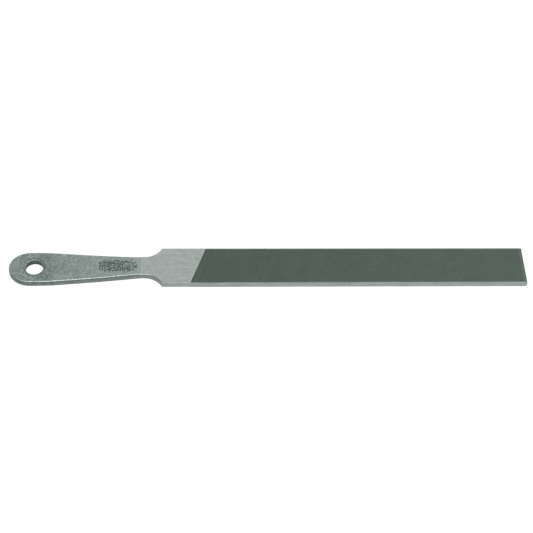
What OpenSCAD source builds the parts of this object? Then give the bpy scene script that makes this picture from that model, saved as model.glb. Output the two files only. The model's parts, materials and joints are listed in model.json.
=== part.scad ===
// Flat farrier rasp with an integral forged handle.
// One steel forging, split where its surface changes: handle, heel, blade core and the two cut faces.
// +X runs from the butt to the point, +Z is up, and the origin is under the middle of the outline.

/* [Blade] */
// Length from the shoulders to the point
blade_l = 200.3; // [150:0.1:300]
// Width of the blade
blade_w = 23.5; // [20:0.5:32]
// Thickness of the steel between the two faces
blade_t = 4; // [3.4:0.1:6]
// Radius of the blunt, rounded end of the point, seen from the side
point_round = 3.3; // [3:0.1:8]
// Length of the bevel between that round and each face
point_bevel = 0.75; // [0.3:0.05:1]

/* [Cut faces] */
// Distance from the shoulders to the middle of the slanting line where the cut starts
cut_start = 19.6; // [14:0.1:40]
// Angle of that line, and of the file's first cut, off square across the blade
cut_slant = 20; // [0:1:30]
// Thickness of the layer that carries each cut
layer_t = 0.5; // [0.4:0.1:0.8]
// Distance from one file tooth to the next, measured square to the teeth
file_pitch = 0.8; // [0.8:0.1:2]
// Depth of a file tooth
file_depth = 0.25; // [0.1:0.05:0.3]
// Distance from one row of rasp teeth to the next, along the blade
rasp_pitch = 4; // [3:0.5:8]
// Number of rasp teeth in a full row across the blade
rasp_teeth = 6; // [3:1:7]
// Height of a rasp tooth above the face
rasp_h = 0.4; // [0.2:0.1:0.8]

/* [Handle] */
// Length from the butt to the shoulders
handle_l = 82.7; // [70:0.1:130]
// Greatest width of the grip
grip_w = 20.2; // [16:0.1:26]
// Thickness of the forged grip
grip_t = 4.4; // [4.4:0.1:6]
// Length of the rounded butt, from its end to the greatest width
butt_l = 11.8; // [10:0.1:14]
// Narrowest width, at the neck
neck_w = 12.1; // [9:0.1:14]
// Distance that the butt is set to the near side of the blade's centre line
grip_set = 1; // [0:0.05:1.2]
// Radius on the long edges of the grip
edge_r = 0.6; // [0.4:0.1:1]

/* [Hanging hole] */
// Diameter of the hole's straight wall
hole_d = 9.9; // [6:0.1:11]
// Distance from the butt to the hole's centre
hole_from_butt = 13.8; // [12:0.1:20]
// Width of the lip round each mouth of the hole
hole_lip = 0.4; // [0.2:0.1:0.8]

/* [Hidden] */
$fn = 96;

// Positions along the tool
butt_x = -(handle_l + blade_l) / 2;
shoulder_x = butt_x + handle_l;
point_x = butt_x + handle_l + blade_l;
fillet_l = 9.5;                         // from the shoulders back to where their arcs begin
ground_neck_l = 1.9;                    // ground stretch of the neck behind those arcs
finish_x = shoulder_x - fillet_l - ground_neck_l;
hole_x = butt_x + hole_from_butt;

// Heights: the tool rests on the tips of its rasp teeth
face_low = rasp_h;
face_high = rasp_h + blade_t;
mid_z = (face_low + face_high) / 2;

// The parallel stretch of the grip after the butt, then the arc that turns it into the taper
parallel_l = 2.7;
taper_arc_l = 12;
neck_run = 1.5;                         // straight run of the neck before the finish line
slack = 1;                              // how far a cutting shape runs past what it cuts

// Half width of the handle at a distance d from the butt's end
taper_start = butt_l + parallel_l;
neck_start = finish_x - neck_run - butt_x;
taper_drop = (grip_w - neck_w) / 2;
// The arc takes its share of the drop: its end slope equals the taper's slope
taper_slope = taper_drop / (neck_start - taper_start - taper_arc_l / 2);
function grip_half(d) =
    d < butt_l ? grip_w / 2 * sqrt(1 - pow(1 - d / butt_l, 2)) :
    d < taper_start ? grip_w / 2 :
    d < taper_start + taper_arc_l ?
        grip_w / 2 - taper_slope * pow(d - taper_start, 2) / (2 * taper_arc_l) :
    d < neck_start ? neck_w / 2 + taper_slope * (neck_start - d) :
    neck_w / 2;

// Sideways set of the centre line: nothing at the finish line, most at the butt
function grip_centre(d) = -grip_set * (1 - pow(d / (finish_x - butt_x), 4));

// Amount that the butt's end is rounded away at a distance d, on each face
function end_drop(d) = d < edge_r ? edge_r - sqrt(edge_r * edge_r - pow(edge_r - d, 2)) : 0;

// One ring of the handle: a rounded rectangle across the grip at a distance d
corner_steps = 3;
butt_flat = 0.05;                       // the first ring has the size of the section this far in
function ring_corner(d, sy, sz) =
    let (s = max(d, butt_flat), h = grip_half(s), t = grip_t / 2 - end_drop(s), r = min(edge_r, h, t) * 0.98)
    [for (i = [0 : corner_steps])
        let (a = 90 * (sy * sz > 0 ? i : corner_steps - i) / corner_steps)
        [butt_x + d, grip_centre(d) + sy * (h - r + r * cos(a)), mid_z + sz * (t - r + r * sin(a))]];
function ring(d) = concat(
    ring_corner(d, 1, 1), ring_corner(d, -1, 1), ring_corner(d, -1, -1), ring_corner(d, 1, -1));

// Distances of the rings: close together round the butt, wider along the taper
butt_rings = 14;
taper_rings = 12;
ring_places = concat(
    [for (i = [0 : butt_rings]) butt_l * (1 - cos(90 * i / butt_rings))],
    [for (i = [0 : 4]) taper_start + taper_arc_l * i / 4],
    [for (i = [1 : taper_rings])
        let (from = taper_start + taper_arc_l) from + (neck_start - from) * i / taper_rings],
    [finish_x - butt_x]);

// A closed skin through a list of rings, each with the same number of points
module loft(rings) {
    n = len(rings[0]);
    last = len(rings) - 1;
    points = [for (r = rings) each r];
    sides = [for (i = [0 : last - 1], j = [0 : n - 1])
        let (k = (j + 1) % n) each
        [[i * n + j, i * n + k, (i + 1) * n + k], [i * n + j, (i + 1) * n + k, (i + 1) * n + j]]];
    butt_cap = [[for (j = [n - 1 : -1 : 0]) j]];
    neck_cap = [[for (j = [0 : n - 1]) last * n + j]];
    polyhedron(points, concat(sides, butt_cap, neck_cap));
}

// The hanging hole with a lip at each mouth
module hanging_hole() {
    translate([hole_x, grip_centre(hole_from_butt), mid_z]) {
        cylinder(d = hole_d, h = grip_t + 2 * slack, center = true);
        for (s = [0, 1])
            mirror([0, 0, s])
                translate([0, 0, grip_t / 2 - hole_lip])
                    cylinder(r1 = hole_d / 2, r2 = hole_d / 2 + hole_lip + slack, h = hole_lip + slack);
    }
}

module handle() {
    color([0.50, 0.54, 0.52])
        difference() {
            loft([for (d = ring_places) ring(d)]);
            hanging_hole();
        }
}

// Outline of the heel: the neck, the two concave shoulders and the slanting front
shoulder_drop = (blade_w - neck_w) / 2;
fillet_r = (fillet_l * fillet_l + shoulder_drop * shoulder_drop) / (2 * shoulder_drop);
fillet_steps = 14;
function shoulder_arc(side) = [for (i = [0 : fillet_steps])
    let (a = asin(fillet_l / fillet_r) * i / fillet_steps)
    [shoulder_x - fillet_l + fillet_r * sin(a), side * (neck_w / 2 + fillet_r * (1 - cos(a)))]];
function slant_x(y) = shoulder_x + cut_start + y * tan(cut_slant);
function backwards(list) = [for (i = [len(list) - 1 : -1 : 0]) list[i]];

module heel() {
    color([0.62, 0.66, 0.65])
        translate([0, 0, face_low])
            linear_extrude(blade_t)
                polygon(concat(
                    [[finish_x, -neck_w / 2]],
                    shoulder_arc(-1),
                    [[slant_x(-blade_w / 2), -blade_w / 2], [slant_x(blade_w / 2), blade_w / 2]],
                    backwards(shoulder_arc(1)),
                    [[finish_x, neck_w / 2]]));
}

// The blade in front of the slanting line, from one height to another; it runs on past the point
module cut_zone(low, high) {
    end_x = point_x + slack;
    translate([0, 0, low])
        linear_extrude(high - low)
            polygon([
                [slant_x(-blade_w / 2), -blade_w / 2], [end_x, -blade_w / 2],
                [end_x, blade_w / 2], [slant_x(blade_w / 2), blade_w / 2]]);
}

// The point seen from the side: a blunt arc with a bevel at each end of it
bevel_drop = 0.35;                      // height of each bevel
round_turn = asin((blade_t / 2 - bevel_drop) / point_round);
round_steps = 5;                        // flats on each half of the arc
point_arc = [for (i = [-round_steps : round_steps])
    let (a = round_turn * i / round_steps)
    [point_x - point_round * (1 - cos(a)), mid_z + point_round * sin(a)]];
bevel_run = (bevel_drop + slack) * point_bevel / bevel_drop;
bevel_back_x = point_arc[0][0] - bevel_run;

// A block of a given width with that point; above and below it runs on past the faces
module point_block(width) {
    rotate([90, 0, 0])
        linear_extrude(width, center = true)
            polygon(concat(
                [[shoulder_x, face_low - slack], [bevel_back_x, face_low - slack]],
                point_arc,
                [[bevel_back_x, face_high + slack], [shoulder_x, face_high + slack]]));
}

// The layer of the blade between two heights, with its share of the point
module layer(low, high) {
    intersection() {
        cut_zone(low, high);
        point_block(blade_w + 2 * slack);
    }
}

module blade() {
    color([0.57, 0.61, 0.60])
        layer(face_low + layer_t, face_high - layer_t);
}

// Rows of file teeth from the slanting line on: each rises slowly and drops steeply towards the point
tooth_front = 0.2;                      // share of the pitch under the steep side
file_rows = ceil((blade_l - cut_start + blade_w) * cos(cut_slant) / file_pitch);
file_row_l = 2 * (blade_l * sin(cut_slant) + blade_w);
module file_teeth() {
    translate([slant_x(0), 0, 0])
        rotate([0, 0, -cut_slant])
            rotate([90, 0, 0])
                linear_extrude(file_row_l, center = true)
                    polygon(concat(
                        [[0, face_high - layer_t]],
                        [for (i = [0 : file_rows - 1]) each [
                            [i * file_pitch, face_high - file_depth],
                            [(i + 1 - tooth_front) * file_pitch, face_high]]],
                        [[file_rows * file_pitch, face_high - file_depth],
                         [file_rows * file_pitch, face_high - layer_t]]));
}

module upper_cut() {
    color([0.33, 0.38, 0.34])
        intersection() {
            file_teeth();
            point_block(blade_w);
        }
}

// One rasp tooth on the lower face: a wedge that is highest towards the point
rasp_tooth_l = 1.6;
rasp_tooth_w = 1.4;
rasp_margin = 2.2;                      // smooth strip left along each edge
module rasp_tooth() {
    rotate([90, 0, 0])
        linear_extrude(rasp_tooth_w, center = true)
            polygon([[-rasp_tooth_l, 0.1], [-rasp_tooth_l, 0], [-0.3, -rasp_h], [0, -rasp_h + 0.05],
                     [0.15, 0], [0.15, 0.1]]);
}

// Rows of rasp teeth, every second row shifted by half a step
rasp_step = (blade_w - 2 * rasp_margin) / (rasp_teeth - 0.5);
rasp_first_x = slant_x(blade_w / 2) + 2;
rasp_rows = floor((point_x - 3 - rasp_first_x) / rasp_pitch) + 1;
module lower_cut() {
    color([0.36, 0.40, 0.37]) {
        layer(face_low, face_low + layer_t);
        for (i = [0 : rasp_rows - 1], j = [0 : rasp_teeth - 1])
            translate([rasp_first_x + i * rasp_pitch,
                       -blade_w / 2 + rasp_margin + (j + (i % 2) / 2) * rasp_step, face_low])
                rasp_tooth();
    }
}

handle();
heel();
blade();
upper_cut();
lower_cut();
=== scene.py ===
import json
import math

import bmesh
import bpy
import numpy as np
from mathutils import Matrix, Vector, noise
from mathutils.geometry import delaunay_2d_cdt


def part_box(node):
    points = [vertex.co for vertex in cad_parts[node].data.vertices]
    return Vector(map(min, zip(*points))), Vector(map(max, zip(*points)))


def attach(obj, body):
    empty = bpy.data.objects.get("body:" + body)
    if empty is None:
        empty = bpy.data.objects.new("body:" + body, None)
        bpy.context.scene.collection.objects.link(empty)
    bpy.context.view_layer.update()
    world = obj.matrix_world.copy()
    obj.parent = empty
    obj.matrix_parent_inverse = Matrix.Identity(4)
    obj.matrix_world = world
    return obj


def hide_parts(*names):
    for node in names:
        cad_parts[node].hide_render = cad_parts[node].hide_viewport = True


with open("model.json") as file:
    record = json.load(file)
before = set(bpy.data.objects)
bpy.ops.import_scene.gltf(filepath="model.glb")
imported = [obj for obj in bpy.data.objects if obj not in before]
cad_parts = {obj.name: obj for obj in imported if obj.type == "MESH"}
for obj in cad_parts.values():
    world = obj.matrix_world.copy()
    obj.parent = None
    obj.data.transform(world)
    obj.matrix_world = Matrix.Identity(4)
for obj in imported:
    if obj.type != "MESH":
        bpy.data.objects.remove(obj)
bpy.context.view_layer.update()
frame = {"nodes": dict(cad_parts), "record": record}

# Lengths in this script are millimetres, apart from those of lights, camera and floor, which are metres.
MM = 0.001


def limits(node):
    """Lowest and highest corner of a CAD node, in millimetres."""
    lo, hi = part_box(node)
    return np.array(lo) / MM, np.array(hi) / MM


# ---- places that the frame gives ----
HANDLE_LO, HANDLE_HI = limits("handle")
HEEL_LO, HEEL_HI = limits("heel")
BLADE_LO, BLADE_HI = limits("blade")
UPPER_LO = limits("upper_cut")[0]
LOWER_LO, LOWER_HI = limits("lower_cut")
BUTT_X = HANDLE_LO[0]
FINISH_X = HANDLE_HI[0]                 # line across the neck where the forged skin ends
POINT_X = BLADE_HI[0]
HALF_W = BLADE_HI[1]                    # half the blade's width
FACE_HIGH, FACE_LOW = HEEL_HI[2], HEEL_LO[2]
SLANT = (HEEL_HI[0] - BLADE_LO[0]) / (2 * HALF_W)   # tangent of the cut's slant
SLANT_X = (HEEL_HI[0] + BLADE_LO[0]) / 2            # where the slanting line crosses the middle
MOUNTS = {m["name"]: m for m in frame["record"]["mounts"]}
HOLE = np.array(MOUNTS["hanging_hole"]["pos_m"]) / MM
HOLE_R = MOUNTS["hanging_hole"]["dims"]["r_mm"]

# ---- driving sizes of the outline, as in the CAD source ----
BUTT_L = 11.8                           # rounded butt
PARALLEL_L = 2.7                        # parallel stretch after it
TAPER_ARC_L = 12                        # arc that turns into the taper
NECK_RUN = 1.5                          # straight run before the finish line
GRIP_W = 20.2
NECK_W = 12.1
GRIP_SET = 1                            # sideways set of the butt
FILLET_L = 9.5                          # length of each shoulder's arc
FINISH_TO_ARC = 1.9                     # from the finish line to where those arcs begin
POINT_ROUND = 3.3                       # radius of the blunt end, seen from the side
POINT_BEVEL, BEVEL_DROP = 0.75, 0.35    # length and height of the bevel between that round and each face

HANDLE_L = FINISH_X - BUTT_X
SHOULDER_X = FINISH_X + FINISH_TO_ARC + FILLET_L
TAPER_START = BUTT_L + PARALLEL_L
NECK_START = HANDLE_L - NECK_RUN
TAPER_SLOPE = (GRIP_W - NECK_W) / 2 / (NECK_START - TAPER_START - TAPER_ARC_L / 2)
SHOULDER_DROP = HALF_W - NECK_W / 2
FILLET_R = (FILLET_L ** 2 + SHOULDER_DROP ** 2) / (2 * SHOULDER_DROP)
MID_Z = (FACE_HIGH + FACE_LOW) / 2


def end_x(z):
    """Place of the blunt end at a height within its round."""
    return POINT_X - POINT_ROUND + math.sqrt(POINT_ROUND ** 2 - (z - MID_Z) ** 2)


BEVEL_X = end_x(FACE_HIGH - BEVEL_DROP)     # where the round meets the bevels

# ---- fineness of the meshes ----
RAIL_STEP, HEEL_STEP = 0.5, 0.4         # spacing along the outline of handle and heel
BUTT_STEPS, ARC_STEPS = 38, 34          # points round half the butt and along each shoulder's arc
FINISH_STEPS, SLANT_STEPS = 22, 62      # points across the neck and along the slanting line
CORNER_RINGS = 7                        # rings round each rounding of a long edge
HOLE_STEPS = 112                        # points round the hanging hole
FINE, COARSE = 0.2, 0.55                # spacing of a sheet's points, in and outside the roughened patch
PLATE_SMOOTH, FILE_SMOOTH, RASP_SMOOTH = 40, 20, 35     # edges sharper than these angles are kept hard

rng = np.random.RandomState(11)


def smooth(x, start, end):
    """0 before start, 1 after end, an S curve in between."""
    t = np.clip((np.asarray(x, float) - start) / (end - start), 0, 1)
    return t * t * (3 - 2 * t)


def bumps(x, y, size, seed):
    """Soft noise between about -1 and 1 with features of the given size."""
    places = zip(np.ravel(x) / size, np.ravel(y) / size)
    return np.array([noise.noise(Vector((u, v, seed))) for u, v in places])


# ---- outline ----
def grip_half(d):
    """Half width of the handle at distances d from the butt's end."""
    d = np.asarray(d, float)
    round_end = GRIP_W / 2 * np.sqrt(np.clip(1 - (1 - d / BUTT_L) ** 2, 0, 1))
    arc = GRIP_W / 2 - TAPER_SLOPE * (d - TAPER_START) ** 2 / (2 * TAPER_ARC_L)
    taper = NECK_W / 2 + TAPER_SLOPE * (NECK_START - d)
    stretches = [d < BUTT_L, d < TAPER_START, d < TAPER_START + TAPER_ARC_L, d < NECK_START]
    return np.select(stretches, [round_end, GRIP_W / 2 + 0 * d, arc, taper], NECK_W / 2)


def grip_centre(d):
    """Sideways place of the handle's middle line: set over at the butt, on the blade's middle at the neck."""
    return -GRIP_SET * (1 - (np.asarray(d, float) / HANDLE_L) ** 4)


def handle_rail():
    """Outline of the handle: along the far side to the butt, round it and back along the near side."""
    straight = np.linspace(HANDLE_L, BUTT_L, int((HANDLE_L - BUTT_L) / RAIL_STEP))
    turn = np.radians(np.linspace(90, 0, BUTT_STEPS))[1:]
    d = np.concatenate([straight, BUTT_L * (1 - np.cos(turn))])
    half = np.concatenate([grip_half(straight), GRIP_W / 2 * np.sin(turn)])
    far = np.column_stack([BUTT_X + d, grip_centre(d) + half])
    near = np.column_stack([BUTT_X + d, grip_centre(d) - half])
    return np.concatenate([far, near[-2::-1]])


def heel_rail(side):
    """One side of the heel, from the finish line to the slanting line; side is -1 near or 1 far."""
    turn = np.linspace(0, math.asin(FILLET_L / FILLET_R), ARC_STEPS)
    neck = np.linspace(FINISH_X, SHOULDER_X - FILLET_L, 5)[:-1]
    cut_x = SLANT_X + side * HALF_W * SLANT
    edge = np.linspace(SHOULDER_X, cut_x, int((cut_x - SHOULDER_X) / HEEL_STEP))[1:]
    x = np.concatenate([neck, SHOULDER_X - FILLET_L + FILLET_R * np.sin(turn), edge])
    arc = NECK_W / 2 + FILLET_R * (1 - np.cos(turn))
    y = np.concatenate([NECK_W / 2 + 0 * neck, arc, HALF_W + 0 * edge])
    return np.column_stack([x, side * y])


def outward(rail, start_dir, end_dir):
    """Direction that moves each outline point out by one unit of edge distance.

    The two ends slide along lines of their own.
    """
    step = np.diff(rail, axis=0)
    step /= np.linalg.norm(step, axis=1)[:, None]
    normal = np.column_stack([step[:, 1], -step[:, 0]])
    before = np.concatenate([normal[:1], normal])
    after = np.concatenate([normal, normal[-1:]])
    middle = before + after
    middle[0], middle[-1] = start_dir, end_dir
    return middle / np.sum(middle * after, axis=1)[:, None]


def inside(points, loop):
    """Which points lie inside the closed loop."""
    a, b = loop, np.roll(loop, -1, axis=0)
    x, y = points[:, :1], points[:, 1:]
    crosses = (a[:, 1] > y) != (b[:, 1] > y)
    rise = np.where(b[:, 1] == a[:, 1], 1, b[:, 1] - a[:, 1])
    at = a[:, 0] + (y - a[:, 1]) / rise * (b[:, 0] - a[:, 0])
    return np.sum(crosses & (x < at), axis=1) % 2 == 1


def gap_to(points, others):
    """Distance from each point to the nearest of the others."""
    apart = points[:, None, :] - others[None, :, :]
    return np.sqrt(np.min(np.sum(apart ** 2, axis=2), axis=1))


def honeycomb(lo, hi, pitch):
    """Points of a lattice of nearly regular triangles in a rectangle."""
    rows = np.arange(lo[1], hi[1], pitch * 0.866)
    return np.array([(x + pitch / 2 * (i % 2), y)
                     for i, y in enumerate(rows) for x in np.arange(lo[0], hi[0], pitch)])


# ---- plates: an upper and a lower sheet with a rounded edge between them ----
RIDGE, RIDGE_FOOT = 0.1, 0.2            # half the height of the parting line's crest and of its foot
FOOT_LEAN = 0.45                        # share of the draft that is reached at the foot


def edge_rings(rail, out, radius, draft, top, low):
    """Rings round an edge from the upper sheet to the lower one, with the forging's parting line halfway."""
    turns = np.radians(np.linspace(90, 0, CORNER_RINGS))
    middle = (top + low) / 2
    upper = [(draft + radius * (1 - np.cos(t)), top - radius * (1 - np.sin(t))) for t in turns]
    lower = [(draft + radius * (1 - np.cos(t)), low + radius * (1 - np.sin(t))) for t in turns[::-1]]
    ridge = [(draft * FOOT_LEAN, middle + RIDGE_FOOT), (0 * draft, middle + RIDGE),
             (0 * draft, middle - RIDGE), (draft * FOOT_LEAN, middle - RIDGE_FOOT)]
    return [np.column_stack([rail - out * inset[:, None], z]) for inset, z in upper + ridge + lower]


def triangles(points, loops):
    """Triangles between the points that lie inside the first loop and outside the others."""
    edges = [(loop[i], loop[(i + 1) % len(loop)]) for loop in loops for i in range(len(loop))]
    made = delaunay_2d_cdt([Vector(p) for p in points], edges, [], 1, 1e-7)
    back = [came[0] for came in made[3]]
    faces = np.array([[back[i] for i in f] for f in made[2]])
    centre = points[faces].mean(axis=1)
    for loop in loops[1:]:
        keep = ~inside(centre, points[loop])
        faces, centre = faces[keep], centre[keep]
    return faces


class Plate:
    """Collects the vertices and faces of one plate."""

    def __init__(self):
        self.points = []
        self.faces = []
        self.kinds = []
        self.count = 0

    def add(self, points):
        """Takes in points and gives back their numbers."""
        start = self.count
        self.points.append(points)
        self.count += len(points)
        return np.arange(start, self.count)

    def face(self, corners, kind=0):
        """One face through the numbered points; kind is its place in the list of materials."""
        self.faces.append([int(i) for i in corners])
        self.kinds.append(kind)

    def strip(self, a, b, closed=False, kinds=None):
        """Quads between two rows of the same length, with a on the upper side."""
        last = len(a) if closed else len(a) - 1
        for i in range(last):
            j = (i + 1) % len(a)
            self.face((a[i], b[i], b[j], a[j]), 0 if kinds is None else kinds[i])

    def sheets(self, flat, loops, top, low):
        """The upper and lower sheet over the same points in the plane."""
        upper = self.add(np.column_stack([flat, top]))
        lower = self.add(np.column_stack([flat, low]))
        for f in triangles(flat, loops):
            self.face(upper[f])
            self.face(lower[f[::-1]])
        return upper, lower

    def build(self, name, materials, attributes):
        """The plate as a Blender object."""
        return mesh_piece(name, np.concatenate(self.points), self.faces, materials, self.kinds, attributes)


def mesh_piece(name, points, faces, materials, kinds, attributes):
    """A Blender object from points in millimetres, with values that the mesh carries at its points."""
    mesh = bpy.data.meshes.new(name)
    mesh.from_pydata((points * MM).tolist(), [], faces)
    for material in materials:
        mesh.materials.append(material)
    mesh.polygons.foreach_set("material_index", np.array(kinds, np.int32))
    for key, values in attributes.items():
        layer = mesh.attributes.new(key, "FLOAT", "POINT")
        layer.data.foreach_set("value", np.asarray(values, np.float32))
    bm = bmesh.new()
    bm.from_mesh(mesh)
    bmesh.ops.recalc_face_normals(bm, faces=bm.faces)
    shade(bm, PLATE_SMOOTH)
    bm.to_mesh(mesh)
    bm.free()
    return placed(name, mesh)


def shade(bm, smooth_angle):
    """Smooth shading, with edges sharper than the angle kept hard."""
    for f in bm.faces:
        f.smooth = True
    for e in bm.edges:
        e.smooth = len(e.link_faces) == 2 and e.calc_face_angle(0) < math.radians(smooth_angle)


def placed(name, data):
    """Puts the data into the scene as an object."""
    made = bpy.data.objects.new(name, data)
    bpy.context.collection.objects.link(made)
    return made


# ---- materials ----
class Steel:
    """A procedural steel. Texture sizes are features per metre in the object's own coordinates."""

    def __init__(self, name):
        self.material = bpy.data.materials.new(name)
        self.material.use_nodes = True
        self.tree = self.material.node_tree
        self.surface = self.tree.nodes["Principled BSDF"]
        self.surface.inputs["Metallic"].default_value = 1
        self.place = self.new("ShaderNodeTexCoord").outputs["Object"]

    def new(self, kind, **settings):
        """Adds a node and sets its fields."""
        made = self.tree.nodes.new(kind)
        for key, value in settings.items():
            setattr(made, key, value)
        return made

    def put(self, value, socket):
        """Links the value to the socket, or sets it there if it is a plain number or colour."""
        if isinstance(value, bpy.types.NodeSocket):
            self.tree.links.new(value, socket)
        else:
            socket.default_value = value

    def math(self, operation, a, b=0.5):
        """The result of one arithmetic step."""
        made = self.new("ShaderNodeMath", operation=operation)
        self.put(a, made.inputs[0])
        self.put(b, made.inputs[1])
        return made.outputs[0]

    def span(self, value, low, high, to_low=0.0, to_high=1.0):
        """The value's range low to high, carried over to another range."""
        made = self.new("ShaderNodeMapRange", interpolation_type="SMOOTHSTEP")
        for key, number in (("From Min", low), ("From Max", high), ("To Min", to_low), ("To Max", to_high)):
            made.inputs[key].default_value = number
        self.put(value, made.inputs["Value"])
        return made.outputs["Result"]

    def mix(self, amount, a, b):
        """Colour a where the amount is 0, colour b where it is 1."""
        made = self.new("ShaderNodeMix", data_type="RGBA")
        self.put(amount, made.inputs[0])
        self.put(a, made.inputs[6])
        self.put(b, made.inputs[7])
        return made.outputs[2]

    def noise(self, size, detail=2.0, stretch=(1, 1, 1)):
        """Soft noise between 0 and 1 with size times stretch features per metre along each axis."""
        mapping = self.new("ShaderNodeMapping")
        mapping.inputs["Scale"].default_value = stretch
        self.put(self.place, mapping.inputs["Vector"])
        made = self.new("ShaderNodeTexNoise")
        made.inputs["Scale"].default_value = size
        made.inputs["Detail"].default_value = detail
        self.put(mapping.outputs["Vector"], made.inputs["Vector"])
        return made.outputs["Fac"]

    def attribute(self, name):
        """A value that the mesh carries at its points."""
        return self.new("ShaderNodeAttribute", attribute_name=name).outputs["Fac"]

    def where(self, axis):
        """The place along X, Y or Z in millimetres."""
        made = self.new("ShaderNodeSeparateXYZ")
        self.put(self.place, made.inputs["Vector"])
        return self.math("MULTIPLY", made.outputs[axis], 1 / MM)

    def facing(self, axis):
        """How far the surface looks along X, Y or Z, from 0 to 1."""
        made = self.new("ShaderNodeSeparateXYZ")
        self.put(self.new("ShaderNodeTexCoord").outputs["Normal"], made.inputs["Vector"])
        return self.math("ABSOLUTE", made.outputs[axis])

    def shaded_point(self, colour):
        """Painted shade on the blunt end; the long edges, ground almost to the end, take little of it."""
        along = self.span(self.where("X"), BEVEL_X - POINT_BEVEL * 1.25, BEVEL_X - 0.2, 0, 0.9)
        across = self.span(self.facing("Y"), 0.7, 0.95, 1, 0.15)
        return self.mix(self.math("MULTIPLY", along, across), colour, POINT_SHADE)

    def bump(self, value, depth, under=None):
        """Adds relief of the given depth in millimetres."""
        made = self.new("ShaderNodeBump")
        made.inputs["Distance"].default_value = depth * MM
        self.put(value, made.inputs["Height"])
        if under is not None:
            self.put(under, made.inputs["Normal"])
        return made.outputs["Normal"]

    def finish(self, colour, roughness, normal):
        """Joins the results to the shader and gives back the material."""
        self.put(colour, self.surface.inputs["Base Color"])
        self.put(roughness, self.surface.inputs["Roughness"])
        self.put(normal, self.surface.inputs["Normal"])
        return self.material


def grey(level, green=1.0, blue=0.0):
    """A greenish steel grey: the level is its green part."""
    return (level * (1 - 0.20 * green), level, level * (1 - 0.10 * green + blue), 1)


# Colour of the painted shade on the blunt end.
POINT_SHADE = grey(0.11, 1.1)


def forged_steel():
    """Forged and tumbled skin: mottled, finely pitted, brighter on rubbed edges partly as painted highlight,
    painted shade in dents.
    """
    s = Steel("forged_steel")
    mottle = s.span(s.noise(190, 3), 0.38, 0.64)
    cloud = s.span(s.noise(700, 3), 0.35, 0.7)
    grain = s.noise(4200, 2)
    colour = s.mix(mottle, grey(0.230), grey(0.312, 0.9, 0.02))
    colour = s.mix(cloud, colour, s.mix(0.75, colour, grey(0.185)))
    colour = s.mix(s.span(s.noise(1500, 2), 0.4, 0.66), colour, s.mix(0.55, colour, grey(0.40, 0.8, 0.03)))
    stain = s.span(s.noise(240, 2), 0.6, 0.76, 0, 0.35)
    colour = s.mix(stain, colour, (0.33, 0.32, 0.30, 1))
    specks = s.span(s.noise(2300, 1), 0.62, 0.72, 0, 0.6)
    colour = s.mix(specks, colour, grey(0.12))
    colour = s.mix(s.attribute("bare"), colour, grey(0.35, 0.6, 0.02))
    # Rubbed edges: lighter bare steel plus a painted highlight; on the hole's lip only a painted highlight.
    rubbed_and_highlit = s.math("MULTIPLY", s.attribute("wear_and_highlight"), s.span(s.noise(900, 2), 0.25, 0.6, 0.75, 1.0))
    colour = s.mix(rubbed_and_highlit, colour, grey(0.58, 0.5, 0.07))
    # Grime by the hole, plus painted shade: in the dents, the bore and its dish, and a line under each edge's
    # highlight.
    colour = s.mix(s.attribute("grime_and_shade"), colour, grey(0.078, 2.1, 0.12))
    roughness = s.span(s.math("ADD", cloud, grain), 0.5, 1.4, 0.34, 0.5)
    normal = s.bump(s.noise(650, 4), 0.075)
    normal = s.bump(grain, 0.018, normal)
    return s.finish(colour, roughness, normal)


def brushed(s, low, high, along):
    """Fine grinding lines along X, as a colour, a roughness and a relief. along is their frequency in X."""
    broad = s.noise(1, 2, (along * 1.5, 420, 420))
    lines = s.noise(1, 3, (along * 2, 2600, 2600))
    hair = s.noise(1, 1, (along * 3, 9000, 9000))
    tone = s.math("ADD", s.math("MULTIPLY", lines, 0.6), s.math("MULTIPLY", broad, 0.4))
    colour = s.mix(s.span(tone, 0.38, 0.62), grey(low, 0.5, 0.01), grey(high, 0.5, 0.02))
    roughness = s.span(hair, 0.3, 0.7, 0.3, 0.44)
    normal = s.bump(lines, 0.008)
    normal = s.bump(hair, 0.004, normal)
    return colour, roughness, normal


def ground_steel():
    """Fine ground faces of the heel."""
    s = Steel("ground_steel")
    colour, roughness, normal = brushed(s, 0.335, 0.385, 40)
    cloud = s.span(s.noise(520, 4), 0.35, 0.7)
    colour = s.mix(cloud, s.mix(0.35, colour, grey(0.43, 0.4, 0.01)), s.mix(0.4, colour, grey(0.30, 0.5)))
    # Lighter along the softened slanting edge and the rounded edges: partly burnish, partly painted
    # highlight.
    colour = s.mix(s.attribute("wear_and_highlight"), colour, grey(0.60, 0.35))
    return s.finish(colour, roughness, normal)


def edge_steel():
    """Ground edges of the blade, with coarser lines and the odd nick."""
    s = Steel("edge_steel")
    colour, roughness, normal = brushed(s, 0.39, 0.52, 60)
    nicks = s.span(s.noise(1, 2, (900, 900, 300)), 0.66, 0.74, 0, 0.5)
    colour = s.mix(nicks, colour, grey(0.20))
    # The blunt end gets painted shade.
    return s.finish(s.shaded_point(colour), roughness, normal)


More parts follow.
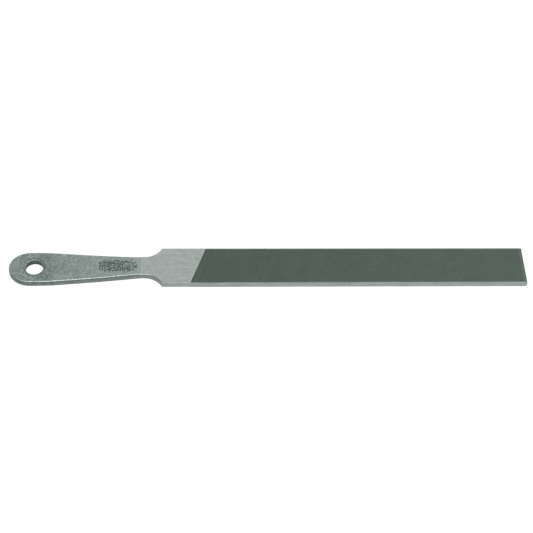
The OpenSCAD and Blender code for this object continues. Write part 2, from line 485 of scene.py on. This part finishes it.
def cut_steel(name, crest, valley, low, high):
    """Hardened teeth: painted shade in the grooves, and a little brighter along the crests, as wear and
    painted highlight.
    """
    s = Steel(name)
    # Painted shade: the lower in the relief, the darker.
    height = s.span(s.where("Z"), valley, crest)
    colour = s.mix(height, grey(low, 1.25, -0.06), grey(high, 1.25, -0.06))
    cloud = s.span(s.noise(330, 3, (0.3, 1, 1)), 0.35, 0.65, 0, 0.55)
    colour = s.mix(cloud, colour, s.mix(0.5, colour, grey(low, 1.0)))
    # Crests rubbed lighter, partly as a painted highlight.
    rubbed_and_highlit = s.math("MULTIPLY", s.span(s.where("Z"), valley + (crest - valley) * 0.85, crest),
                    s.span(s.noise(400, 3), 0.4, 0.7, 0.1, 0.6))
    colour = s.mix(rubbed_and_highlit, colour, grey(high * 1.5, 1.1, -0.03))
    normal = s.bump(s.noise(5200, 2), 0.012)
    roughness = s.span(s.noise(1500, 2), 0.3, 0.7, 0.38, 0.52)
    # The blunt end gets painted shade.
    return s.finish(s.shaded_point(colour), roughness, normal)


# ---- handle ----
GRIP_EDGE_R, NECK_EDGE_R = 0.62, 0.5    # radius of its long edges, at the butt and at the neck
DRAFT = 0.14                            # how far each half of the side leans in from the parting line
DRAFT_END = 4                           # the draft fades out over this length before the finish line
FACE_BLEND = 2.6                        # length over which the forged faces run down to the ground ones
WAVE, WAVE_SIZE = 0.035, 8              # depth and size of the broad waves in the forged faces
DIMPLE, DIMPLE_SIZE = 0.012, 1.9        # and of the small ones
DISH_R, DISH_DROP = 5.9, 0.10           # shallow dish round each mouth of the hole
LIP_R, LIP_TILT = 0.5, math.radians(14)     # rounding of the mouth, and the slope it starts from
WALL_Z = 1.7                            # half height of the hole's straight wall
PATCH_X, PATCH_Y = FINISH_X - 12.6, -0.15   # middle of the roughened patch
PATCH_L, PATCH_W = 10.8, 3.7            # half its length, half its width
GRIME, GRIME_X = 0.2, HOLE[0] + 4.5     # dark skin by the hole, mostly on the neck's side
DENT_LEAST = (0, 0.42, 0.34, 0.11)      # lowest direction, half length, half width and depth of a dent
DENT_MOST = (math.pi, 0.9, 0.56, 0.24)  # and the highest


def patch_share(x, y):
    """1 inside the roughened patch, falling to 0 past its rounded outline."""
    narrow = PATCH_W * (1 - 0.18 * (x - PATCH_X) / PATCH_L)
    reach = (np.abs((x - PATCH_X) / PATCH_L) ** 3 + np.abs((y - PATCH_Y) / narrow) ** 3) ** (1 / 3)
    return 1 - smooth(reach, 0.8, 1.15)


def scatter_dents(tries=1200):
    """Random places, directions and sizes for the dents, closest together in the middle of the patch."""
    kept = []
    for _ in range(tries):
        x = PATCH_X + rng.uniform(-PATCH_L, PATCH_L)
        y = PATCH_Y + rng.uniform(-PATCH_W, PATCH_W)
        turn, length, width, depth = rng.uniform(DENT_LEAST, DENT_MOST)
        apart = 0.98 + 0.3 * abs(x - PATCH_X) / PATCH_L
        clear = all((x - o[0]) ** 2 + (y - o[1]) ** 2 > apart ** 2 for o in kept)
        if clear and rng.uniform() < patch_share(x, y):
            kept.append((x, y, turn, length, width, depth))
    return kept


def dents(x, y, places):
    """Depth of the dents, and how far each point lies in one."""
    depth, share = np.zeros(len(x)), np.zeros(len(x))
    for cx, cy, turn, length, width, deep in places:
        u = (x - cx) * math.cos(turn) + (y - cy) * math.sin(turn)
        v = -(x - cx) * math.sin(turn) + (y - cy) * math.cos(turn)
        reach = np.sqrt((u / length) ** 2 + (v / width) ** 2)
        hollow = 1 - smooth(reach, 0.45, 1.25)
        rim = smooth(reach, 1.0, 1.35) * (1 - smooth(reach, 1.35, 1.8))
        depth += deep * hollow - 0.012 * rim
        share = np.maximum(share, hollow)
    return depth, share


def handle_face(x, y, seed):
    """Distance of a forged face from the middle of the thickness."""
    half = (HANDLE_HI[2] - HANDLE_LO[2]) / 2
    ground = (FACE_HIGH - FACE_LOW) / 2
    face = half - (half - ground) * smooth(x, FINISH_X - FACE_BLEND, FINISH_X)
    wave = WAVE * (bumps(x, y, WAVE_SIZE, seed) - 1) + DIMPLE * (bumps(x, y, DIMPLE_SIZE, seed + 3) - 1)
    return face + wave * (1 - smooth(x, FINISH_X - 2.4, FINISH_X - 0.2))


def lip_profile():
    """Radius and drop of the rings from the face into the hole."""
    start = HOLE_R + LIP_R * (1 - math.sin(LIP_TILT))
    power = math.tan(LIP_TILT) * (DISH_R - start) / DISH_DROP
    dish = [(DISH_R + (start - DISH_R) * t, DISH_DROP * t ** power) for t in np.linspace(0, 1, 8)[1:]]
    tilts = np.linspace(LIP_TILT, math.pi / 2, 9)[1:]
    lip = [(HOLE_R + LIP_R * (1 - math.sin(t)), DISH_DROP + LIP_R * (math.cos(LIP_TILT) - math.cos(t)))
           for t in tilts]
    return dish + lip


def circle(radius):
    """A ring of points round the hole's axis."""
    turn = np.linspace(0, 2 * math.pi, HOLE_STEPS, endpoint=False)
    return HOLE[:2] + radius * np.column_stack([np.cos(turn), np.sin(turn)])


def ring_wear_and_highlight():
    """Rubbed amount and painted highlight of each ring of an edge: most halfway round the radius, a little on
    the parting line.
    """
    corner = np.sin(np.linspace(0, math.pi, CORNER_RINGS)) ** 0.7
    return np.concatenate([corner * 0.72, [0, 0.2, 0.2, 0], corner * 0.5])


def ring_shade():
    """Painted shade on each ring of an edge: a dark line just under the upper rounding."""
    corner = np.linspace(0, 1, CORNER_RINGS) ** 6
    return np.concatenate([corner * 0.5, [0.14, 0, 0, 0.05], corner[::-1] * 0.2])


def handle_fill(border):
    """Points inside the handle's faces, closer together in the roughened patch."""
    coarse = honeycomb((BUTT_X, HANDLE_LO[1]), (FINISH_X, HANDLE_HI[1]), COARSE)
    fine = honeycomb((PATCH_X - PATCH_L - 0.6, -PATCH_W - 0.9), (FINISH_X - 1.2, PATCH_W + 0.6), FINE)
    coarse = coarse[gap_to(coarse, fine) > COARSE * 0.6]
    fill = np.concatenate([coarse, fine])
    fill = fill[inside(fill, border)]
    fill = fill[gap_to(fill, border) > FINE * 0.9]
    return fill[np.hypot(*(fill - HOLE[:2]).T) > DISH_R + COARSE * 0.5]


def handle(material):
    """The forged grip, with its hole, its dents and its parting line, up to the finish line."""
    rail = handle_rail()
    out = outward(rail, (0, 1), (0, -1))
    radius = GRIP_EDGE_R + (NECK_EDGE_R - GRIP_EDGE_R) * smooth(rail[:, 0], BUTT_X + 30, FINISH_X)
    draft = DRAFT * (1 - smooth(rail[:, 0], FINISH_X - DRAFT_END, FINISH_X))
    inner = rail - out * (radius + draft)[:, None]
    end_y = np.linspace(inner[-1, 1], inner[0, 1], FINISH_STEPS)[1:-1]
    end = np.column_stack([np.full(len(end_y), FINISH_X), end_y])
    mouth = circle(DISH_R)
    flat = np.concatenate([inner, end, mouth, handle_fill(np.concatenate([inner, end]))])
    x, y = flat.T
    depth, share = dents(x, y, scatter_dents())
    top = np.minimum(MID_Z + handle_face(x, y, 1) - depth, HANDLE_HI[2])
    low = np.maximum(MID_Z - handle_face(x, y, 40), HANDLE_LO[2])

    plate = Plate()
    n, m, k = len(inner), len(end), len(mouth)
    loops = [list(range(n + m)), list(range(n + m, n + m + k))]
    upper, lower = plate.sheets(flat, loops, top, low)
    wear_and_highlight = [np.zeros(len(flat))] * 2
    grime = GRIME * (1 - smooth(np.hypot(x - GRIME_X, (y - HOLE[1]) * 0.8), 5, 9.5))
    # Painted shade in the dents, a slightly darker roughened patch, and grime by the hole.
    grime_and_shade = [share * 0.9 + 0.07 * patch_share(x, y) * (1 - share) + grime, np.zeros(len(flat))]
    held = 0.45 * smooth(x, BUTT_X + 12, FINISH_X - 16)     # skin rubbed bare by the hand and by grinding
    ground = 0.35 * smooth(x, FINISH_X - 7, FINISH_X - 1)
    polish = held + ground
    bare = [polish, polish]

    rings = edge_rings(rail, out, radius, draft, top[:n], low[:n])[1:-1]
    rows = [upper[:n]]
    for ring, rubbed_and_highlit, dark in zip(rings, ring_wear_and_highlight()[1:-1], ring_shade()[1:-1]):
        rows.append(plate.add(ring))
        wear_and_highlight.append(np.full(n, rubbed_and_highlit))
        grime_and_shade.append(np.full(n, dark))
        bare.append(polish[:n])
    rows.append(lower[:n])
    for a, b in zip(rows, rows[1:]):
        plate.strip(a, b)
    near_side, far_side = [r[-1] for r in rows[::-1]], [r[0] for r in rows]
    plate.face(list(upper[n:n + m]) + far_side + list(lower[n:n + m][::-1]) + near_side)

    profile = lip_profile()
    mouth_top, mouth_low = top[n + m:n + m + k], low[n + m:n + m + k]
    wall_top, wall_low = MID_Z + WALL_Z, MID_Z - WALL_Z
    shares = np.linspace(0, 1, len(profile)) ** 2
    holes = [(r, mouth_top * (1 - t) + (wall_top + profile[-1][1]) * t - drop)
             for (r, drop), t in zip(profile, shares)]
    holes += [(HOLE_R, MID_Z + z + 0 * mouth_top) for z in (0.8, 0.0, -0.8)]
    holes += [(r, mouth_low * (1 - t) + (wall_low - profile[-1][1]) * t + drop)
              for (r, drop), t in zip(profile, shares)][::-1]
    rows = [upper[n + m:n + m + k]]
    for r, z in holes:
        rows.append(plate.add(np.column_stack([circle(r), z])))
        # The lip's rounding gets a painted highlight.
        on_lip = r < HOLE_R + LIP_R * 0.7 and r > HOLE_R + 0.07
        wear_and_highlight.append(np.full(k, 1.0 if on_lip else 0.0))
        # Painted shade in the bore, darker towards the bottom, and in the dish round the mouth.
        wall_shade = 0.55 + 0.4 * smooth(MID_Z - z, -0.8, 1.6)
        grime_and_shade.append(0 * z if on_lip else np.where(r > HOLE_R, 0.75, wall_shade))
        bare.append(np.zeros(k))
    rows.append(lower[n + m:n + m + k])
    for a, b in zip(rows, rows[1:]):
        plate.strip(a, b, closed=True)
    fields = {"wear_and_highlight": np.concatenate(wear_and_highlight), "grime_and_shade": np.concatenate(grime_and_shade), "bare": np.concatenate(bare)}
    return plate.build("handle_forged", [material], fields)


# ---- heel ----
SHOULDER_EDGE_R = 0.12                  # radius of its long edges along the blade
BREAK_L, BREAK_DROP = 0.45, 0.05        # softened edge where the heel meets the teeth
BREAK_ROWS = (0.1, 0.2, 0.32, 0.46, 0.7)    # rows of points beside the slanting line, for that edge
SIDE_ROWS = range(5, 12)                # rows between an edge's rings that make up its flat side
GROUND_KIND, EDGE_KIND, FORGED_KIND = 0, 1, 2   # places in the heel's list of materials


def heel(material, side_material, forged_material):
    """Ground on both faces and along the blade; the neck and the shoulders keep their forged sides."""
    slope = np.array([SLANT, 1]) / math.hypot(SLANT, 1)
    rails = [heel_rail(-1), heel_rail(1)[::-1]]
    ends = [((0, -1), -slope), (slope, (0, 1))]
    outs = [outward(rail, *end) for rail, end in zip(rails, ends)]
    radii = [NECK_EDGE_R + (SHOULDER_EDGE_R - NECK_EDGE_R) * smooth(r[:, 0], FINISH_X + 5, SHOULDER_X - 0.4)
             for r in rails]
    inners = [rail - out * radius[:, None] for rail, out, radius in zip(rails, outs, radii)]
    near, far = inners
    share = np.linspace(0, 1, SLANT_STEPS)[1:-1, None]
    slanting = near[-1] * (1 - share) + far[0] * share
    share = np.linspace(0, 1, FINISH_STEPS)[1:-1, None]
    finish = far[-1] * (1 - share) + near[0] * share
    border = np.concatenate([near, slanting, far, finish])
    back_off = np.array([slope[1], -slope[0]])
    beside = [slanting - back_off * off for off in BREAK_ROWS]
    fill = honeycomb((FINISH_X, -HALF_W), (HEEL_HI[0], HALF_W), COARSE)
    fill = fill[inside(fill, border)]
    fill = fill[gap_to(fill, np.concatenate([border] + beside)) > 0.3]
    beside = np.concatenate(beside)
    beside = beside[inside(beside, border)]
    beside = beside[gap_to(beside, np.concatenate([near, far])) > 0.08]
    flat = np.concatenate([border, beside, fill])
    to_cut = (SLANT_X + flat[:, 1] * SLANT - flat[:, 0]) * slope[1]
    edge = 1 - smooth(to_cut, 0, BREAK_L)
    drop = BREAK_DROP * edge ** 2
    top, low = FACE_HIGH - drop, FACE_LOW + drop

    plate = Plate()
    upper, lower = plate.sheets(flat, [list(range(len(border)))], top, low)
    # Painted highlight, partly burnish, along the softened edge by the slanting line.
    wear_and_highlight = [0.8 * edge, 0.8 * edge]
    grime_and_shade = [0 * edge, 0 * edge]
    bare = [0 * edge, 0 * edge]
    starts = [0, len(near) + len(slanting)]
    all_rows = []
    for rail, out, radius, start in zip(rails, outs, radii, starts):
        n = len(rail)
        rings = edge_rings(rail, out, radius, 0 * radius, top[start:start + n], low[start:start + n])[1:-1]
        rows = [upper[start:start + n]]
        forged = 1 - smooth(rail[:, 0], SHOULDER_X - 2, SHOULDER_X)
        # Rings: rubbed wear with a painted highlight, and on the forged neck a line of painted shade under
        # it.
        for ring, rubbed_and_highlit, dark in zip(rings, ring_wear_and_highlight()[1:-1], ring_shade()[1:-1]):
            rows.append(plate.add(ring))
            wear_and_highlight.append(rubbed_and_highlit * radius / NECK_EDGE_R)
            grime_and_shade.append(dark * forged * 0.6)
            bare.append(np.ones(n))
        rows.append(lower[start:start + n])
        skin = rail[:-1, 0] + rail[1:, 0] < 2 * SHOULDER_X - 0.4
        for i, (a, b) in enumerate(zip(rows, rows[1:])):
            plate.strip(a, b, kinds=np.where(skin, FORGED_KIND, EDGE_KIND if i in SIDE_ROWS else GROUND_KIND))
        all_rows.append(rows)
    for first, second, start, count in ((0, 1, len(near), len(slanting)),
                                        (1, 0, len(border) - len(finish), len(finish))):
        upper_row, lower_row = upper[start:start + count], lower[start:start + count]
        down = [r[-1] for r in all_rows[first]]
        up = [r[0] for r in all_rows[second][::-1]]
        plate.face(list(upper_row[::-1]) + down + list(lower_row) + up, EDGE_KIND)
    fields = {"wear_and_highlight": np.concatenate(wear_and_highlight), "grime_and_shade": np.concatenate(grime_and_shade), "bare": np.concatenate(bare)}
    return plate.build("heel_ground", [material, side_material, forged_material], fields)


# ---- cut faces ----
UPCUT_PITCH, OVERCUT_PITCH = 0.8, 0.85
OVERCUT_LEAN = math.radians(45)         # off square, leaning the other way from the slanting line
TOOTH_DEPTH = 0.25
UPCUT_SHAPE = [(0, 0), (0.3, 0.52), (0.62, 0.9), (0.84, 1)]     # place in the pitch, share of the height
OVERCUT_SHAPE = [(0, 0.55), (0.25, 1), (0.62, 0.94)]
UPCUT_JITTER, OVERCUT_JITTER = 0.03, 0.04   # how far a row may stray, in pitches
UPCUT_LOW, OVERCUT_LOW = 0.86, 0.9      # height of the lowest rows
TOOTH_ROUGH = 0.012                     # unevenness along a tooth
POINT_FADE, EDGE_FADE = 1.1, 1          # the teeth run out over these lengths at the point and the edges
FADED_DROP = 0.06                       # height that they run out to, below the face


def lattice_axis(shape, pitch, first, last, jitter):
    """Places, heights and row numbers along one family of grooves."""
    rows = np.repeat(np.arange(first, last), len(shape))
    place = np.tile([p for p, _ in shape], last - first)
    tall = np.tile([h for _, h in shape], last - first)
    shift = rng.uniform(-jitter, jitter, last - first)[rows - first]
    return (rows + place + shift) * pitch, tall, rows - first


def close_below(bm, stages, bevel):
    """Carries the open rim down through the stages and closes it; at the point it follows the blunt end."""
    rim = [e for e in bm.edges if e.is_boundary]
    for x, z in stages:
        made = bmesh.ops.extrude_edge_only(bm, edges=rim)["geom"]
        for v in [g for g in made if isinstance(g, bmesh.types.BMVert)]:
            if abs((v.co - bevel[0]).dot(bevel[1])) < 1e-4:
                v.co.x = x
            v.co.z = z
        rim = [g for g in made if isinstance(g, bmesh.types.BMEdge) and g.is_boundary]
    bmesh.ops.contextual_create(bm, geom=rim)


def cut_away(bm, place, normal):
    """Removes everything on the outer side of a plane."""
    bmesh.ops.bisect_plane(bm, geom=bm.verts[:] + bm.edges[:] + bm.faces[:], dist=1e-5,
                           plane_co=place, plane_no=normal, clear_outer=True)


def relief_piece(name, grid_x, grid_y, grid_z, keep, face, bottom, materials, smooth_angle):
    """A layer of steel with a relief: a grid of points, trimmed to the blade's outline and closed below."""
    number = np.full(grid_x.shape, -1)
    number[keep] = np.arange(np.count_nonzero(keep))
    quads = np.stack([number[:-1, :-1], number[1:, :-1], number[1:, 1:], number[:-1, 1:]], axis=-1)
    quads = quads.reshape(-1, 4)
    quads = quads[np.all(quads >= 0, axis=1)]
    points = np.column_stack([grid_x[keep], grid_y[keep], grid_z[keep]])
    mesh = bpy.data.meshes.new(name)
    mesh.from_pydata(points.tolist(), [], quads.tolist())
    bm = bmesh.new()
    bm.from_mesh(mesh)
    bmesh.ops.delete(bm, geom=[v for v in bm.verts if not v.link_faces], context="VERTS")
    up = 1 if face > bottom else -1
    bevel_z = face - up * BEVEL_DROP
    bevel = Vector((BEVEL_X, 0, bevel_z)), Vector((BEVEL_DROP, 0, up * POINT_BEVEL)).normalized()
    cut_away(bm, (0, HALF_W, 0), (0, 1, 0))
    cut_away(bm, (0, -HALF_W, 0), (0, -1, 0))
    cut_away(bm, (SLANT_X, 0, 0), (-1, SLANT, 0))
    cut_away(bm, *bevel)
    close_below(bm, [(BEVEL_X, bevel_z), (end_x(bottom), bottom)], bevel)
    bmesh.ops.recalc_face_normals(bm, faces=bm.faces)
    for f in bm.faces:
        f.material_index = int(abs(f.normal.y) > 0.999)     # the long edges take the second material
    shade(bm, smooth_angle)
    bmesh.ops.scale(bm, vec=(MM, MM, MM), verts=bm.verts)
    bm.to_mesh(mesh)
    bm.free()
    for material in materials:
        mesh.materials.append(material)
    return placed(name, mesh)


def upper_teeth(material, side_material):
    """Double cut: rows parallel to the slanting line, crossed by grooves that lean the other way."""
    slant = math.atan(SLANT)
    apart = math.sin(slant + OVERCUT_LEAN)
    reach = POINT_X - SLANT_X + 2
    rows = math.ceil((reach * math.cos(slant) + HALF_W * math.sin(slant)) / UPCUT_PITCH)
    lowest = math.floor(-(HALF_W + 1) * 1.4 / OVERCUT_PITCH)
    highest = math.ceil((reach * math.cos(OVERCUT_LEAN) + HALF_W * 1.4) / OVERCUT_PITCH)
    a, tall_a, row_a = lattice_axis(UPCUT_SHAPE, UPCUT_PITCH, 0, rows, UPCUT_JITTER)
    b, tall_b, row_b = lattice_axis(OVERCUT_SHAPE, OVERCUT_PITCH, lowest, highest, OVERCUT_JITTER)
    a[0] = 0                            # the first groove lies on the slanting line
    x = SLANT_X + (a[:, None] * math.sin(OVERCUT_LEAN) + b[None, :] * math.sin(slant)) / apart
    y = (b[None, :] * math.cos(slant) - a[:, None] * math.cos(OVERCUT_LEAN)) / apart
    vary_a = rng.uniform(UPCUT_LOW, 1.0, rows)[row_a][:, None]
    vary_b = rng.uniform(OVERCUT_LOW, 1.0, highest - lowest)[row_b][None, :]
    tall = tall_a[:, None] * tall_b[None, :] * vary_a * vary_b
    z = FACE_HIGH - TOOTH_DEPTH * (1 - tall) + rng.uniform(-TOOTH_ROUGH, 0, x.shape)
    face_end = BEVEL_X - POINT_BEVEL
    worn = np.maximum(0.7 * smooth(x, face_end - POINT_FADE, face_end),
                      0.5 * smooth(np.abs(y), HALF_W - EDGE_FADE, HALF_W))
    z = z * (1 - worn) + (FACE_HIGH - FADED_DROP) * worn
    keep = (np.abs(y) < HALF_W + 1.5) & (x < POINT_X + 1.5)
    return relief_piece("upper_teeth", x, y, z, keep, FACE_HIGH, UPPER_LO[2],
                        [material, side_material], FILE_SMOOTH)


RASP_PITCH, RASP_TEETH, RASP_MARGIN = 4, 6, 2.2     # between rows, in a row, from the edge to a row's end
RASP_START, RASP_END = 2, 3             # from the heel to the first row, least from the last row to the point
RASP_TOOTH_L, RASP_FRONT = 1.6, 0.42    # length of a tooth's burr and of its steep front
RASP_PIT_L, RASP_PIT = 1.4, 0.3         # length and depth of the pit before it
RASP_HALF_W = 0.8                       # half the width of burr and pit where they are widest
RASP_ROW = [-2, -1.6, -1.3, -1.0, -0.7, -0.45, -0.22, -0.08, 0, 0.14, 0.28, 0.42, 0.6, 0.9, 1.3, 1.7]


def rasp_relief(u, v, tip):
    """Height of the face round one rasp tooth: a rising burr, its steep front and the pit before it."""
    rise = np.clip(1 + u / RASP_TOOTH_L, 0, 1)
    burr = tip * rise ** 1.4 * np.clip(1 - (v / (RASP_HALF_W - 0.3 * rise)) ** 2, 0, 1) ** 0.7
    run = np.clip((u - RASP_FRONT) / RASP_PIT_L, 0, 1)
    pit = RASP_PIT * (1 - run) ** 1.3 * np.clip(1 - (v / (RASP_HALF_W - 0.45 * run)) ** 2, 0, 1)
    front = np.clip(u / RASP_FRONT, 0, 1)
    return burr * (1 - front) - pit * front


def lower_teeth(material, side_material):
    """Rasp teeth in staggered rows, one pit and one burr for each."""
    tip = FACE_LOW - LOWER_LO[2]
    step = (2 * HALF_W - 2 * RASP_MARGIN) / (RASP_TEETH - 0.5)
    first_x = HEEL_HI[0] + RASP_START
    rows = math.floor((POINT_X - RASP_END - first_x) / RASP_PITCH) + 1
    margin = np.linspace(-HALF_W, -HALF_W + RASP_MARGIN, 10)[:-1]
    middle = np.linspace(-HALF_W + RASP_MARGIN, HALF_W - RASP_MARGIN, 8 * (2 * RASP_TEETH - 1) + 1)
    across = np.concatenate([margin, middle, -margin[::-1]])
    along = np.array([first_x + i * RASP_PITCH + u for i in range(-4, rows + 1) for u in RASP_ROW])
    x, y = np.meshgrid(along, across, indexing="ij")
    row = np.clip(np.rint((x - first_x - 0.001) / RASP_PITCH), 0, rows - 1)
    shift = -HALF_W + RASP_MARGIN + row % 2 / 2 * step
    column = np.clip(np.rint((y - shift) / step), 0, RASP_TEETH - 1)
    z = FACE_LOW - rasp_relief(x - first_x - row * RASP_PITCH, y - shift - column * step, tip)
    return relief_piece("lower_teeth", x, y, z, x < POINT_X + 1, FACE_LOW, LOWER_HI[2],
                        [material, side_material], RASP_SMOOTH)


# ---- the object ----
FORGED = forged_steel()
GROUND = ground_steel()
EDGE = edge_steel()
FILE_CUT = cut_steel("file_cut_steel", FACE_HIGH, FACE_HIGH - TOOTH_DEPTH, 0.132, 0.217)
RASP_CUT = cut_steel("rasp_cut_steel", LOWER_LO[2], FACE_LOW + RASP_PIT, 0.12, 0.25)

for piece, node, slot in ((handle(FORGED), "handle", "forged_steel"),
                          (heel(GROUND, EDGE, FORGED), "heel", "ground_steel"),
                          (upper_teeth(FILE_CUT, EDGE), "upper_cut", "file_cut_steel"),
                          (lower_teeth(RASP_CUT, EDGE), "lower_cut", "rasp_cut_steel")):
    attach(piece, "root")
    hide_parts(node)

core = frame["nodes"]["blade"]
core.data.materials.clear()
core.data.materials.append(EDGE)


# ---- camera ----
CAMERA_FROM = {"elevation": 52.0, "azimuth": 5.67, "roll": 4.37, "distance": 0.7705}
CAMERA_AT = Vector((-1.48, 2.23, FACE_LOW)) * MM
LENS, SENSOR = 94.56, 36


def place_camera():
    """The camera of the photo: in front of the object and above it, turned by the three angles."""
    data = bpy.data.cameras.new("camera")
    data.lens, data.sensor_width = LENS, SENSOR
    data.clip_start, data.clip_end = 0.01, 50
    tall, round_z, roll = (math.radians(CAMERA_FROM[key]) for key in ("elevation", "azimuth", "roll"))
    back = Vector((-math.sin(round_z) * math.cos(tall), -math.cos(round_z) * math.cos(tall), math.sin(tall)))
    right = (-back).cross(Vector((0, 0, 1))).normalized()
    up = right.cross(-back)
    across = right * math.cos(roll) + up * math.sin(roll)
    upwards = up * math.cos(roll) - right * math.sin(roll)
    camera = placed("camera", data)
    turned = Matrix((across, upwards, back)).transposed().to_4x4()
    camera.matrix_world = Matrix.Translation(CAMERA_AT + back * CAMERA_FROM["distance"]) @ turned
    bpy.context.scene.camera = camera


# ---- floor and light ----
FLOOR_HALF = 4.0
FLOOR_GLOW_SEEN, FLOOR_GLOW_CAST = 0.9, 0.55    # the floor's own light, for the camera and for the object


def pale_floor():
    """A plain pale floor at the height of the rasp teeth's tips."""
    mesh = bpy.data.meshes.new("floor")
    corners = [(u * FLOOR_HALF, v * FLOOR_HALF, 0) for u, v in ((-1, -1), (1, -1), (1, 1), (-1, 1))]
    mesh.from_pydata(corners, [], [(0, 1, 2, 3)])
    material = bpy.data.materials.new("pale_floor")
    material.use_nodes = True
    surface = material.node_tree.nodes["Principled BSDF"]
    surface.inputs["Base Color"].default_value = (0.18, 0.18, 0.18, 1)
    surface.inputs["Roughness"].default_value = 1
    surface.inputs["Specular IOR Level"].default_value = 0
    surface.inputs["Emission Color"].default_value = (1, 1, 1, 1)
    glow = material.node_tree.nodes.new("ShaderNodeMapRange")
    glow.inputs["To Min"].default_value = FLOOR_GLOW_CAST
    glow.inputs["To Max"].default_value = FLOOR_GLOW_SEEN
    path = material.node_tree.nodes.new("ShaderNodeLightPath")
    material.node_tree.links.new(path.outputs["Is Camera Ray"], glow.inputs["Value"])
    material.node_tree.links.new(glow.outputs["Result"], surface.inputs["Emission Strength"])
    mesh.materials.append(material)
    placed("floor", mesh)


def softbox(name, azimuth, elevation, distance, size, power):
    """An area light that faces the object. Azimuth 0 is in front, at -Y."""
    data = bpy.data.lights.new(name, "AREA")
    data.shape = "RECTANGLE"
    data.size, data.size_y = size
    data.energy = power
    a, e = math.radians(azimuth), math.radians(elevation)
    away = Vector((math.sin(a) * math.cos(e), -math.cos(a) * math.cos(e), math.sin(e)))
    lamp = placed(name, data)
    lamp.location = away * distance
    lamp.rotation_mode = "QUATERNION"
    lamp.rotation_quaternion = away.to_track_quat("Z", "Y")


def studio_world():
    """Even light from above, darker towards the horizon; the camera sees a plain pale backdrop."""
    world = bpy.data.worlds.new("studio")
    world.use_nodes = True
    tree = world.node_tree
    tree.nodes.clear()
    new, link = tree.nodes.new, tree.links.new
    split = new("ShaderNodeSeparateXYZ")
    link(new("ShaderNodeTexCoord").outputs["Generated"], split.inputs["Vector"])
    ramp = new("ShaderNodeValToRGB")
    for stop, (height, level) in zip(ramp.color_ramp.elements, ((0.05, 0.22), (0.45, 0.6))):
        stop.position = height
        stop.color = (level, level, level, 1)
    link(split.outputs["Z"], ramp.inputs["Fac"])
    studio, backdrop = new("ShaderNodeBackground"), new("ShaderNodeBackground")
    link(ramp.outputs["Color"], studio.inputs["Color"])
    backdrop.inputs["Color"].default_value = (0.95, 0.95, 0.95, 1)
    mix, path, out = new("ShaderNodeMixShader"), new("ShaderNodeLightPath"), new("ShaderNodeOutputWorld")
    link(path.outputs["Is Camera Ray"], mix.inputs[0])
    link(studio.outputs[0], mix.inputs[1])
    link(backdrop.outputs[0], mix.inputs[2])
    link(mix.outputs[0], out.inputs["Surface"])
    bpy.context.scene.world = world


place_camera()
pale_floor()
studio_world()
softbox("back_box", azimuth=166, elevation=52, distance=1.3, size=(1.6, 0.8), power=2.7)
softbox("front_box", azimuth=0, elevation=36, distance=1.2, size=(1.6, 0.5), power=10)
softbox("side_box", azimuth=74, elevation=28, distance=0.75, size=(0.7, 0.4), power=3.2)
bpy.context.scene.view_settings.view_transform = "Standard"
